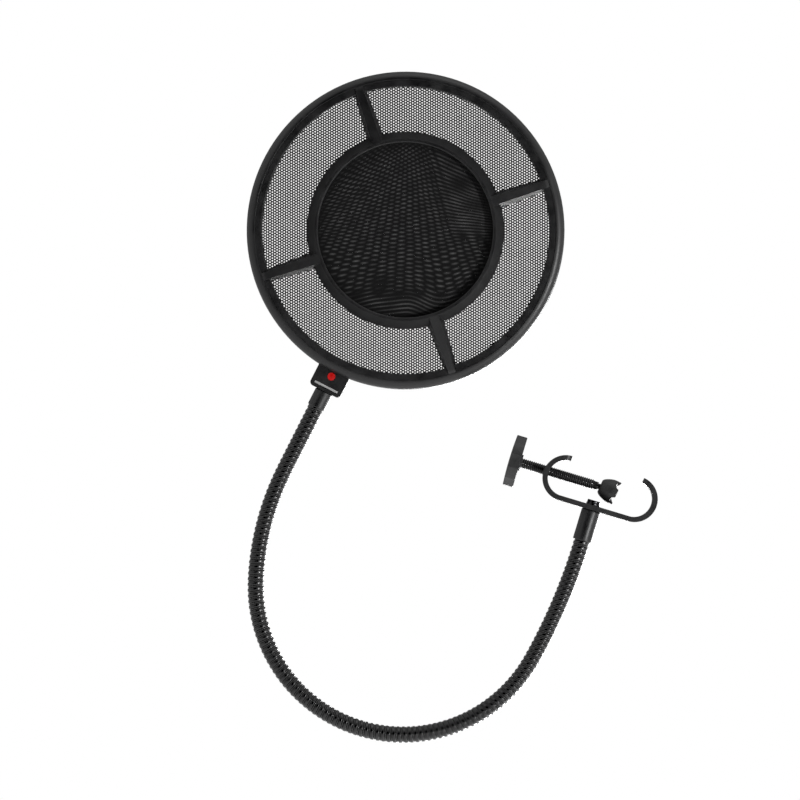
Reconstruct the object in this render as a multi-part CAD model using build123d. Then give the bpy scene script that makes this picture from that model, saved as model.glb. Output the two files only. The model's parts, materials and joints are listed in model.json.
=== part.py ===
from build123d import *
from math import cos, radians, sin
import os

# A two-layer pop filter: a round framed screen on a gooseneck, with a screw clamp for a boom tube.
# +X is right, +Z is up and -Y is the side that faces the talker. The origin is the centre of the
# tube seat in the clamp's hook, on the mid-width of the strip. All sizes are in millimetres.
# The screen faces -Y, and "front" below is a distance towards -Y from the metal screen's middle.

# --- Clamp: a bent steel strip with a hook at each end, in its own upright frame, then turned ---
CLAMP_TURN = 16.8            # the clamp leans this far clockwise, as seen from the front
STRIP_THICK = 2.5
STRIP_WIDTH = 18.0
SEAT_R = 8.75                # inside radius of both hooks
HOOK_SPAN = 35.0             # between the two hooks' centres
LEFT_HOOK_END = 88.0         # angle where the tapped hook stops
RIGHT_HOOK_END = 81.0        # angle where the tube hook stops
STRIP_CORNER_R = 3.0
BASE_R = SEAT_R + STRIP_THICK

# --- Clamp screw, 5 mm across with a 1 mm pitch, with its knob and swivelling pad ---
SCREW_HEIGHT = 0.9           # the screw's axis above the hooks' centres
THREAD_R = 2.5
THREAD_CLEARANCE = 0.05
BALL_X = -15.5               # the swivel ball's centre along the screw
BALL_R = 1.9
NECK_R = 1.35
SHANK_R = 1.95               # the plain length between the thread and the thrust washer
THREAD_END_X = -20.7
KNOB_FACE_X = -58.4          # the knob's inner face
KNOB_R = 12.6
KNOB_RIM = 5.1
KNOB_CROWN = 0.5
KNOB_LOBES = 6
KNOB_LOBE_DEPTH = 0.7
KNOB_EDGE_R = 0.35
NUT_FLATS = 8.0
NUT_SUNK = 3.3
NUT_PROUD = 0.7
SCREW_IN_KNOB = 4.2
WASHER_R = 1.95
WASHER_THICK = 0.5
WASHER_X = -19.3
SWIVEL_CLEARANCE = 0.05
SOCKET_R = 3.1
SOCKET_BACK = 1.0            # the socket's open end, behind the ball's centre
PAD_R = 5.75
PAD_BACK = 2.4               # the pad's back face, behind the ball's centre
PAD_BACK_R = 3.0
PAD_SHOULDER_R = 4.8         # the pad's radius beside the ball's centre
PAD_WIDEST = 3.0             # where the pad reaches its full radius, in front of the ball's centre
PAD_FRONT = 6.7              # the pad's horn tips, in front of the ball's centre
PAD_MOUTH_R = 2.9
PAD_GROOVE_R = 2.2
PAD_GROOVE_DEPTH = 2.0
PAD_DISH_R = 5.2
PAD_DISH_DEPTH = 2.2
PAD_TILT = 8.0

# --- Foot of the gooseneck: a ferrule bolted under the strip ---
FOOT_X = -18.5
FOOT_R = 4.7
FOOT_LENGTH = 15.7
FOOT_CHAMFER = 0.4
BOLT_R = 1.95
BOLT_HOLE_R = 2.1
BOLT_DEPTH = 7.0
BOLT_HEAD_R = 3.2
BOLT_HEAD_HEIGHT = 1.5
BOLT_HEAD_EDGE_R = 0.3
BOLT_SLOT = (1.0, 0.7)       # width and depth of the head's slot
SPRING_WASHER_R = 3.4
SPRING_WASHER_THICK = 0.9
SPRING_WASHER_SPLIT = (0.4, 30.0)  # width and slant of its cut

# --- Gooseneck: tangent stretches of (length, clockwise turn in degrees) from foot to screen ---
NECK_TUBE_R = 3.65
NECK_IN_FERRULE = 6.0
NECK_STRETCHES = [
    (NECK_IN_FERRULE, 0.0),
    (62.7, 12.4),
    (191.8, 152.8),
    (57.5, 24.9),
    (33.4 + NECK_IN_FERRULE, 0.0),
]
NECK_LINKS = 11
LINK_GAP = 0.15
FERRULE_GAP = 0.05

# --- Screen: a two-part moulded frame around a perforated metal disc and two layers of nylon ---
DISC_R = 77.5
RIM_IN = 70.0
LIP_OUT = 73.4
LIP_FRONT = 4.6
RIDGE_FRONT = 5.0
BAND_FRONT = 1.2             # where the rounded outer band ends, at the disc's edge
BAND_BULGE = 0.8             # how far the band's middle stands out from a straight bevel, each way
EDGE_EASE = 0.4
BACK_EASE = 1.2
RIM_BACK = -6.0
PARTING = -1.0
MESH_R = 73.0
MESH_HALF = 0.25
MESH_POCKET = 0.2
RING_IN = 42.7
RING_LIP = 44.3
RING_OUT = 48.1
RING_FRONT = 8.0
RING_FOOT = 3.0
RING_BACK = -4.0
SPOKES = 4
SPOKE_FOOT_WIDTHS = (8.6, 6.2, 5.9)
SPOKE_RADII = (43.8, 71.4, 73.9)
SPOKE_FRONTS = (RING_FRONT, 5.7, 4.5)
SPOKE_DRAFT = 0.25           # sideways run of a spoke's flank for each millimetre of height
BACK_SPOKE_WIDTH = 6.0
BACK_SPOKE_BACK = -3.2
HOOP_IN = 43.3
HOOP_OUT = 45.6
NYLON_THICK = 0.2
NYLON_FRONT = 3.2            # front of the front layer
HOOP_HEIGHT = 2.0
HOOP_POCKET_R = 46.0
FRAME_SCREW_R = 1.1
FRAME_SCREW_HEAD_R = 2.1
FRAME_SCREW_HEAD = 1.2
FRAME_SCREW_REACH = 2.6      # the screws' tips, in front of the metal screen
FRAME_SCREW_RADII = (52.5, 73.7)
SCREW_HOLE_GAP = 0.05
MESH_HOLE_R = 1.6
SCREW_SLOT = (2.6, 0.6, 0.6)  # length, width and depth of each arm of the cross recess

# --- Tab at the foot of the frame, with the gooseneck's upper ferrule ---
TAB_WIDTH = 16.5
TAB_OUT = 10.4
TAB_FRONT = 1.2
TAB_BACK = -8.2
TAB_CORNER_R = 2.0
STEM_BEHIND = 3.5            # the gooseneck's axis lies this far behind the metal screen
TOP_FERRULE_R = 4.5
TOP_FERRULE_LENGTH = 8.9
STUD_R = 2.5
STUD_LENGTH = 7.5
INSERT_R = 3.4
INSERT_LENGTH = 8.0
INSERT_GAP = 0.04
DOT_R = 1.9
DOT_OUT = 2.4
BAR_SIZE = (12.4, 1.0)
BAR_OUT = 8.0
MARK_THICK = 0.3
MARK_PROUD = 0.1

EPS = 0.01
CLAMP = Rot(0, CLAMP_TURN, 0)


# ---------- helpers ----------
def write(name, shape):
    export_step(shape, f"parts/{name}.step")


def turned(points):
    """A solid of revolution about Y from (radius, front) points."""
    outline = Polyline(*[(r, -front) for r, front in points], close=True)
    return revolve(make_face(outline), Axis.Y)


def rod_y(radius, front, back):
    """A cylinder along Y between two front distances."""
    middle = (front + back) / 2
    return Pos(0, -middle, 0) * Rot(90, 0, 0) * Cylinder(radius, front - back)


def rod_x(radius, start, end):
    """A cylinder along X on the screw's axis."""
    return Pos((start + end) / 2, 0, SCREW_HEIGHT) * Rot(0, 90, 0) * Cylinder(radius, end - start)


def rod_z(radius, low, high):
    return Pos(0, 0, (low + high) / 2) * Cylinder(radius, high - low)


def around_disc(shape, count=SPOKES):
    """Copies of a shape in disc axes at 45 degrees to the tab, then every 360/count."""
    return [Rot(0, 45 + 360 * i / count, 0) * shape for i in range(count)]


# ---------- clamp ----------
def arc_strip(centre_x, start, turn):
    """A stretch of bent strip about a hook's centre, from a start angle through a turn."""
    section = Pos(SEAT_R + STRIP_THICK / 2, 0, 0) * Rectangle(STRIP_THICK, STRIP_WIDTH)
    return Pos(centre_x, 0, 0) * revolve(Rot(0, -start, 0) * section, Axis((0, 0, 0), (0, -1, 0)), turn)


def clamp_bracket():
    right = arc_strip(0, -90, RIGHT_HOOK_END + 90)
    left = arc_strip(-HOOK_SPAN, LEFT_HOOK_END, 270 - LEFT_HOOK_END)
    base = Pos(-HOOK_SPAN / 2, 0, -SEAT_R - STRIP_THICK / 2) * Box(HOOK_SPAN, STRIP_WIDTH, STRIP_THICK)
    strip = right + base + left
    ends = [e for e in strip.edges().filter_by(GeomType.LINE) if is_strip_corner(e)]
    strip = fillet(ends, STRIP_CORNER_R)
    tapped_hole = rod_x(THREAD_R + THREAD_CLEARANCE, -HOOK_SPAN - BASE_R - 1, -HOOK_SPAN)
    bolt_hole = Pos(FOOT_X, 0, 0) * rod_z(BOLT_HOLE_R, -BASE_R - 1, -SEAT_R + 1)
    return strip - tapped_hole - bolt_hole


def is_strip_corner(edge):
    """The short edges through the strip's thickness at its two free ends."""
    return abs(edge.length - STRIP_THICK) < EPS and edge.center().Z > 0


def foot_ferrule():
    top = -BASE_R
    bottom = top - FOOT_LENGTH
    body = chamfer(rod_z(FOOT_R, bottom, top).edges(), FOOT_CHAMFER)
    neck_bore = rod_z(NECK_TUBE_R + FERRULE_GAP, bottom - 1, bottom + NECK_IN_FERRULE)
    bolt_bore = rod_z(BOLT_R + FERRULE_GAP, top - BOLT_DEPTH, top + 1)
    return Pos(FOOT_X, 0, 0) * (body - neck_bore - bolt_bore)


def spring_washer():
    low = -SEAT_R
    ring = rod_z(SPRING_WASHER_R, low, low + SPRING_WASHER_THICK) - rod_z(BOLT_HOLE_R, low - 1, low + 2)
    width, slant = SPRING_WASHER_SPLIT
    middle = Pos(0, SPRING_WASHER_R, low + SPRING_WASHER_THICK / 2)
    split = middle * Rot(0, slant, 0) * Box(width, SPRING_WASHER_R, 2 * SPRING_WASHER_THICK)
    return Pos(FOOT_X, 0, 0) * (ring - split)


def bracket_bolt():
    seat = -SEAT_R + SPRING_WASHER_THICK
    head = rod_z(BOLT_HEAD_R, seat, seat + BOLT_HEAD_HEIGHT)
    head = fillet(head.edges().sort_by(Axis.Z)[-1], BOLT_HEAD_EDGE_R)
    slot_width, slot_depth = BOLT_SLOT
    slot = Pos(0, 0, seat + BOLT_HEAD_HEIGHT) * Box(3 * BOLT_HEAD_R, slot_width, 2 * slot_depth)
    shank = rod_z(BOLT_R, -BASE_R - BOLT_DEPTH + 1, seat)
    return Pos(FOOT_X, 0, 0) * (head - slot + shank)


# ---------- clamp screw, knob and pad ----------
def clamp_screw():
    thread = rod_x(THREAD_R, KNOB_FACE_X - SCREW_IN_KNOB, THREAD_END_X)
    thread = chamfer(thread.edges().sort_by(Axis.X)[-1], THREAD_R - SHANK_R)
    shank = rod_x(SHANK_R, THREAD_END_X - 1, WASHER_X)
    neck = rod_x(NECK_R, WASHER_X - 1, BALL_X)
    ball = Pos(BALL_X, 0, SCREW_HEIGHT) * Sphere(BALL_R)
    return thread + shank + neck + ball


def clamp_knob():
    """A lobed disc with a crowned outer face, moulded round a hexagonal nut."""
    inner, rim = KNOB_FACE_X, KNOB_FACE_X - KNOB_RIM
    profile = make_face(
        [
            Polyline((rim, 0, KNOB_R), (inner, 0, KNOB_R), (inner, 0, 0), (rim - KNOB_CROWN, 0, 0)),
            ThreePointArc(
                (rim - KNOB_CROWN, 0, 0),
                (rim - KNOB_CROWN * 3 / 4, 0, KNOB_R / 2),
                (rim, 0, KNOB_R),
            ),
        ]
    )
    body = revolve(profile, Axis.X)
    rim_edges = body.edges().filter_by(GeomType.CIRCLE)
    body = fillet([e for e in rim_edges if abs(e.radius - KNOB_R) < EPS], KNOB_EDGE_R)
    hollow_r = 2 * KNOB_R
    for i in range(KNOB_LOBES):
        hollow = Pos(rim, 0, hollow_r + KNOB_R - KNOB_LOBE_DEPTH) * Rot(0, 90, 0) * Cylinder(
            hollow_r, 4 * KNOB_RIM
        )
        body -= Rot(360 * (i + 0.5) / KNOB_LOBES, 0, 0) * hollow
    body = Pos(0, 0, SCREW_HEIGHT) * body
    nut_pocket = hex_bar(inner - NUT_SUNK, inner + 1)
    return body - nut_pocket - rod_x(THREAD_R, inner - SCREW_IN_KNOB, inner + 1)


def hex_bar(start, end):
    face = Plane(origin=(start, 0, SCREW_HEIGHT), x_dir=(0, 1, 0), z_dir=(1, 0, 0)) * RegularPolygon(
        NUT_FLATS / 2, 6, major_radius=False
    )
    return extrude(face, end - start)


def knob_nut():
    inner = KNOB_FACE_X
    return hex_bar(inner - NUT_SUNK, inner + NUT_PROUD) - rod_x(THREAD_R, inner - 2 * NUT_SUNK, inner + 2)


def thrust_washer():
    ring = rod_x(WASHER_R, WASHER_X, WASHER_X + WASHER_THICK)
    return ring - rod_x(NECK_R + SWIVEL_CLEARANCE, WASHER_X - 1, WASHER_X + 1)


def pad_socket():
    """A ball-shaped plug snapped over the screw's ball, open behind for the screw's neck."""
    plug = Pos(BALL_X, 0, SCREW_HEIGHT) * Sphere(SOCKET_R)
    cavity = Pos(BALL_X, 0, SCREW_HEIGHT) * Sphere(BALL_R + SWIVEL_CLEARANCE)
    behind = rod_x(SOCKET_R + 1, BALL_X - SOCKET_R - 1, BALL_X - SOCKET_BACK)
    return plug - cavity - behind


def pad_cap():
    """A rubber cup with a dished face and two crossed grooves, so that four horns grip a tube.

    One horn points up, one down, one to the front and one to the back.
    """
    profile = make_face(
        [
            Polyline((-PAD_BACK, 0, PAD_BACK_R), (-PAD_BACK, 0, 0), (PAD_FRONT, 0, 0), (PAD_FRONT, 0, PAD_R)),
            Spline(
                (-PAD_BACK, 0, PAD_BACK_R),
                (0, 0, PAD_SHOULDER_R),
                (PAD_WIDEST, 0, PAD_R),
                (PAD_FRONT, 0, PAD_R),
                tangents=[(0.6, 0, 1), (1, 0, 0)],
            ),
        ]
    )
    cup = revolve(profile, Axis.X)
    groove = Pos(PAD_FRONT + PAD_GROOVE_R - PAD_GROOVE_DEPTH, 0, 0) * Cylinder(PAD_GROOVE_R, 4 * PAD_R)
    dish = Pos(PAD_FRONT, 0, 0) * Rot(0, 90, 0) * Cone(
        PAD_DISH_R / 2, PAD_DISH_R, PAD_DISH_DEPTH, align=(Align.CENTER, Align.CENTER, Align.MAX)
    )
    cavity = Sphere(SOCKET_R + SWIVEL_CLEARANCE)
    mouth = Rot(0, 90, 0) * Cone(
        PAD_MOUTH_R, PAD_MOUTH_R - 1, PAD_BACK + 1, align=(Align.CENTER, Align.CENTER, Align.MAX)
    )
    cup -= [cavity, mouth, dish] + [Rot(45 + 90 * i, 0, 0) * groove for i in range(2)]
    return Pos(BALL_X, 0, SCREW_HEIGHT) * Rot(0, PAD_TILT, 0) * cup


# ---------- gooseneck ----------
def neck_start():
    """The gooseneck's end inside the foot ferrule, as (x, z, heading in degrees from +X)."""
    foot_end = CLAMP * Pos(FOOT_X, 0, -BASE_R - FOOT_LENGTH + NECK_IN_FERRULE)
    place = foot_end.position
    return place.X, place.Z, 270 - CLAMP_TURN


def walk(place, length, turn):
    """The place and heading after a stretch of the gooseneck."""
    x, z, heading = place
    if turn == 0:
        return x + length * cos(radians(heading)), z + length * sin(radians(heading)), heading
    radius = length / radians(turn)
    cx, cz = x + radius * sin(radians(heading)), z - radius * cos(radians(heading))
    end = heading - turn
    return cx - radius * sin(radians(end)), cz + radius * cos(radians(end)), end


def neck_place(distance):
    """The place and heading at a distance along the gooseneck."""
    place = neck_start()
    for length, turn in NECK_STRETCHES:
        step = min(distance, length)
        place = walk(place, step, turn * step / length)
        distance -= step
    return place


def neck_length():
    return sum(length for length, _ in NECK_STRETCHES)


def joint_distance(index):
    """The distance of a bending joint along the gooseneck; 0 and NECK_LINKS are its two ends."""
    if index == NECK_LINKS:
        return neck_length()
    free = neck_length() - 2 * NECK_IN_FERRULE
    return 0.0 if index == 0 else NECK_IN_FERRULE + free * index / NECK_LINKS


def tube_piece(distance, length, turn):
    x, z, heading = neck_place(distance)
    ahead = (cos(radians(heading)), 0, sin(radians(heading)))
    disc = Plane(origin=(x, 0, z), x_dir=(0, 1, 0), z_dir=ahead) * Circle(NECK_TUBE_R)
    if turn == 0:
        return extrude(disc, length)
    radius = length / radians(turn)
    centre = (x + radius * sin(radians(heading)), 0, z - radius * cos(radians(heading)))
    return revolve(disc, Axis(centre, (0, 1, 0)), turn)


def neck_tube(start, end):
    """The solid gooseneck between two distances, one exact piece for each stretch it crosses."""
    pieces, passed = [], 0.0
    for length, turn in NECK_STRETCHES:
        low, high = max(start, passed), min(end, passed + length)
        if high - low > EPS:
            pieces.append(tube_piece(low, high - low, turn * (high - low) / length))
        passed += length
    tube = pieces[0]
    for piece in pieces[1:]:
        tube += piece
    return tube


def at_joint(index, shape):
    x, z, _ = neck_place(joint_distance(index))
    return Pos(x, 0, z) * shape


def neck_link(index):
    """One link: a socket at its foot end and a ball at its screen end."""
    link = neck_tube(joint_distance(index), joint_distance(index + 1))
    if index > 0:
        link -= at_joint(index, Sphere(NECK_TUBE_R + LINK_GAP))
    if index + 1 < NECK_LINKS:
        link += at_joint(index + 1, Sphere(NECK_TUBE_R))
    return link


# ---------- screen ----------
def spoke_section(radius, width, front):
    """A spoke's section at a radius along +Z of the disc's axes: wide foot, narrower front."""
    foot = MESH_HALF
    half_front = width / 2 - SPOKE_DRAFT * (front - foot)
    return make_face(
        Polyline(
            (-width / 2, -foot, radius),
            (width / 2, -foot, radius),
            (half_front, -front, radius),
            (-half_front, -front, radius),
            close=True,
        )
    )


def front_spoke():
    sections = [spoke_section(*row) for row in zip(SPOKE_RADII, SPOKE_FOOT_WIDTHS, SPOKE_FRONTS)]
    inner, end = loft(sections[:2]), loft(sections[1:])
    return inner + end


def front_rim():
    """The front half of the rim: a recessed flat lip, a fine ridge and a rounded outer band."""
    outline = [
        Polyline(
            (DISC_R, -BAND_FRONT),
            (DISC_R, -PARTING),
            (MESH_R + MESH_POCKET, -PARTING),
            (MESH_R + MESH_POCKET, -MESH_HALF),
            (RIM_IN, -MESH_HALF),
            (RIM_IN, -LIP_FRONT + EDGE_EASE),
            (RIM_IN + EDGE_EASE, -LIP_FRONT),
            (LIP_OUT, -LIP_FRONT),
            (LIP_OUT + EDGE_EASE / 2, -RIDGE_FRONT),
        ),
        ThreePointArc(
            (LIP_OUT + EDGE_EASE / 2, -RIDGE_FRONT),
            ((LIP_OUT + DISC_R) / 2 + BAND_BULGE, -(RIDGE_FRONT + BAND_FRONT) / 2 - BAND_BULGE),
            (DISC_R, -BAND_FRONT),
        ),
    ]
    return revolve(make_face(outline), Axis.Y)


def front_ring():
    """The raised ring round the nylon, with a pocket behind it for the nylon's hoop."""
    return turned(
        [
            (RING_IN, NYLON_FRONT),
            (RING_IN, RING_FRONT - EDGE_EASE),
            (RING_IN + EDGE_EASE, RING_FRONT),
            (RING_LIP, RING_FRONT),
            (RING_OUT, RING_FOOT),
            (RING_OUT, MESH_HALF),
            (HOOP_POCKET_R, MESH_HALF),
            (HOOP_POCKET_R, NYLON_FRONT),
        ]
    )


def front_frame():
    bore = rod_y(RING_IN + EDGE_EASE, 2 * RING_FRONT, -RING_FRONT)
    hoop_pocket = rod_y(HOOP_POCKET_R, NYLON_FRONT, MESH_HALF - 1)
    spokes = front_spoke() - bore - hoop_pocket
    frame = front_rim() + front_ring()
    for spoke in around_disc(spokes):
        frame += spoke
    hole_front = FRAME_SCREW_REACH + SCREW_HOLE_GAP
    return frame - screw_holes(FRAME_SCREW_R + SCREW_HOLE_GAP, hole_front, -RING_FRONT)


def screw_holes(radius, front, back):
    holes = []
    for centre_r in FRAME_SCREW_RADII:
        holes += around_disc(Pos(0, 0, centre_r) * rod_y(radius, front, back))
    return holes


def screw_seat_back(centre_r):
    """The face that a frame screw's head sits level with."""
    return RIM_BACK if centre_r > RIM_IN else BACK_SPOKE_BACK


def frame_screw(centre_r):
    back = screw_seat_back(centre_r)
    head = rod_y(FRAME_SCREW_HEAD_R, back + FRAME_SCREW_HEAD, back)
    length, width, depth = SCREW_SLOT
    slots = [Rot(0, 90 * i, 0) * Pos(0, -back, 0) * Box(length, 2 * depth, width) for i in range(2)]
    shank = rod_y(FRAME_SCREW_R, FRAME_SCREW_REACH, back + FRAME_SCREW_HEAD)
    return Pos(0, 0, centre_r) * ((head - slots) + shank)


def frame_screws():
    screws = []
    for centre_r in FRAME_SCREW_RADII:
        screws += around_disc(frame_screw(centre_r))
    return screws


def tab():
    """The block at the frame's foot that takes the gooseneck's stud; it ends inside the back rim."""
    low = -DISC_R - TAB_OUT
    high = -RIM_IN
    middle = Pos(0, -(TAB_FRONT + TAB_BACK) / 2, (low + high) / 2)
    block = middle * Box(TAB_WIDTH, TAB_FRONT - TAB_BACK, high - low)
    block = fillet(block.edges().filter_by(Axis.Y).group_by(Axis.Z)[0], TAB_CORNER_R)
    bore = Pos(0, STEM_BEHIND, 0) * rod_z(INSERT_R + INSERT_GAP, low - 1, low + INSERT_LENGTH)
    front_half = rod_y(DISC_R, RING_FRONT, PARTING)
    inside = rod_y(RIM_IN + 1, RING_FRONT, TAB_BACK - 1)
    return block - inside - front_half - bore - mark_dot() - mark_bar()


def back_rim():
    """The back half of the rim, which carries the tab, with the metal screen's seat."""
    return turned(
        [
            (RIM_IN, -MESH_HALF),
            (MESH_R + MESH_POCKET, -MESH_HALF),
            (MESH_R + MESH_POCKET, PARTING),
            (DISC_R, PARTING),
            (DISC_R, RIM_BACK + BACK_EASE),
            (DISC_R - BACK_EASE, RIM_BACK),
            (RIM_IN + EDGE_EASE, RIM_BACK),
            (RIM_IN, RIM_BACK + EDGE_EASE),
        ]
    )


def back_ring():
    return turned(
        [
            (RING_IN, -MESH_HALF),
            (RING_OUT, -MESH_HALF),
            (RING_OUT, RING_BACK + EDGE_EASE),
            (RING_OUT - EDGE_EASE, RING_BACK),
            (RING_IN + EDGE_EASE, RING_BACK),
            (RING_IN, RING_BACK + EDGE_EASE),
        ]
    )


def back_frame():
    middle_r = (RING_OUT + RIM_IN) / 2
    spoke = Pos(0, (-MESH_HALF - BACK_SPOKE_BACK) / 2 + MESH_HALF, middle_r) * Box(
        BACK_SPOKE_WIDTH, -BACK_SPOKE_BACK - MESH_HALF, RIM_IN - RING_OUT + 2
    )
    frame = back_rim() + back_ring() + tab()
    for piece in around_disc(spoke):
        frame += piece
    frame -= screw_holes(FRAME_SCREW_R + SCREW_HOLE_GAP, RING_FRONT, 2 * RIM_BACK)
    for centre_r in FRAME_SCREW_RADII:
        back = screw_seat_back(centre_r)
        seat = rod_y(FRAME_SCREW_HEAD_R + SCREW_HOLE_GAP, back + FRAME_SCREW_HEAD, 2 * RIM_BACK)
        frame -= around_disc(Pos(0, 0, centre_r) * seat)
    return frame


def metal_screen():
    """The perforated disc as a plain sheet, with clearance round the frame screws."""
    return rod_y(MESH_R, MESH_HALF, -MESH_HALF) - screw_holes(MESH_HOLE_R, 1, -1)


def nylon_layer(front):
    return rod_y(HOOP_OUT, front, front - NYLON_THICK)


def nylon_hoop():
    front = NYLON_FRONT - NYLON_THICK
    return rod_y(HOOP_OUT, front, front - HOOP_HEIGHT) - rod_y(HOOP_IN, front + 1, front - 2 * HOOP_HEIGHT)


def mark_dot():
    front = TAB_FRONT + MARK_PROUD
    return Pos(0, 0, -DISC_R - DOT_OUT) * rod_y(DOT_R, front, front - MARK_THICK)


def mark_bar():
    width, height = BAR_SIZE
    front = TAB_FRONT + MARK_PROUD
    return Pos(0, -front + MARK_THICK / 2, -DISC_R - BAR_OUT) * Box(width, MARK_THICK, height)


def stem_insert():
    """The threaded brass insert in the tab, which takes the ferrule's stud."""
    low = -DISC_R - TAB_OUT
    high = low + INSERT_LENGTH
    sleeve = rod_z(INSERT_R, low, high) - rod_z(STUD_R + INSERT_GAP, low - 1, high + 1)
    return Pos(0, STEM_BEHIND, 0) * sleeve


def top_ferrule():
    top = -DISC_R - TAB_OUT
    low = top - TOP_FERRULE_LENGTH
    sleeve = chamfer(rod_z(TOP_FERRULE_R, low, top).edges(), EDGE_EASE)
    bore = rod_z(NECK_TUBE_R + FERRULE_GAP, low - 1, low + NECK_IN_FERRULE)
    stud = rod_z(STUD_R, top - 1, top + STUD_LENGTH)
    return Pos(0, STEM_BEHIND, 0) * (sleeve - bore + stud)


def disc_place():
    """Where the screen's own axes go: past the gooseneck's end, turned to face along it."""
    x, z, heading = neck_place(neck_length() - NECK_IN_FERRULE)
    reach = TOP_FERRULE_LENGTH + TAB_OUT + DISC_R
    centre = (x + reach * cos(radians(heading)), -STEM_BEHIND, z + reach * sin(radians(heading)))
    return Pos(*centre) * Rot(0, 90 - heading, 0)


def main():
    os.makedirs("parts", exist_ok=True)
    clamp_parts = {
        "clamp_bracket": clamp_bracket(),
        "foot_ferrule": foot_ferrule(),
        "spring_washer": spring_washer(),
        "bracket_bolt": bracket_bolt(),
        "clamp_screw": clamp_screw(),
        "clamp_knob": clamp_knob(),
        "knob_nut": knob_nut(),
        "thrust_washer": thrust_washer(),
        "pad_socket": pad_socket(),
        "pad_cap": pad_cap(),
    }
    for name, shape in clamp_parts.items():
        write(name, CLAMP * shape)
    for index in range(NECK_LINKS):
        write(f"neck_link_{index + 1:02d}", neck_link(index))
    place = disc_place()
    disc_parts = {
        "front_frame": front_frame(),
        "back_frame": back_frame(),
        "metal_screen": metal_screen(),
        "nylon_front": nylon_layer(NYLON_FRONT),
        "nylon_back": nylon_layer(NYLON_FRONT - NYLON_THICK - HOOP_HEIGHT),
        "nylon_hoop": nylon_hoop(),
        "mark_dot": mark_dot(),
        "mark_bar": mark_bar(),
        "stem_insert": stem_insert(),
        "top_ferrule": top_ferrule(),
    }
    for name, shape in disc_parts.items():
        write(name, place * shape)
    write("frame_screws", Compound(children=[place * screw for screw in frame_screws()]))


main()
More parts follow.
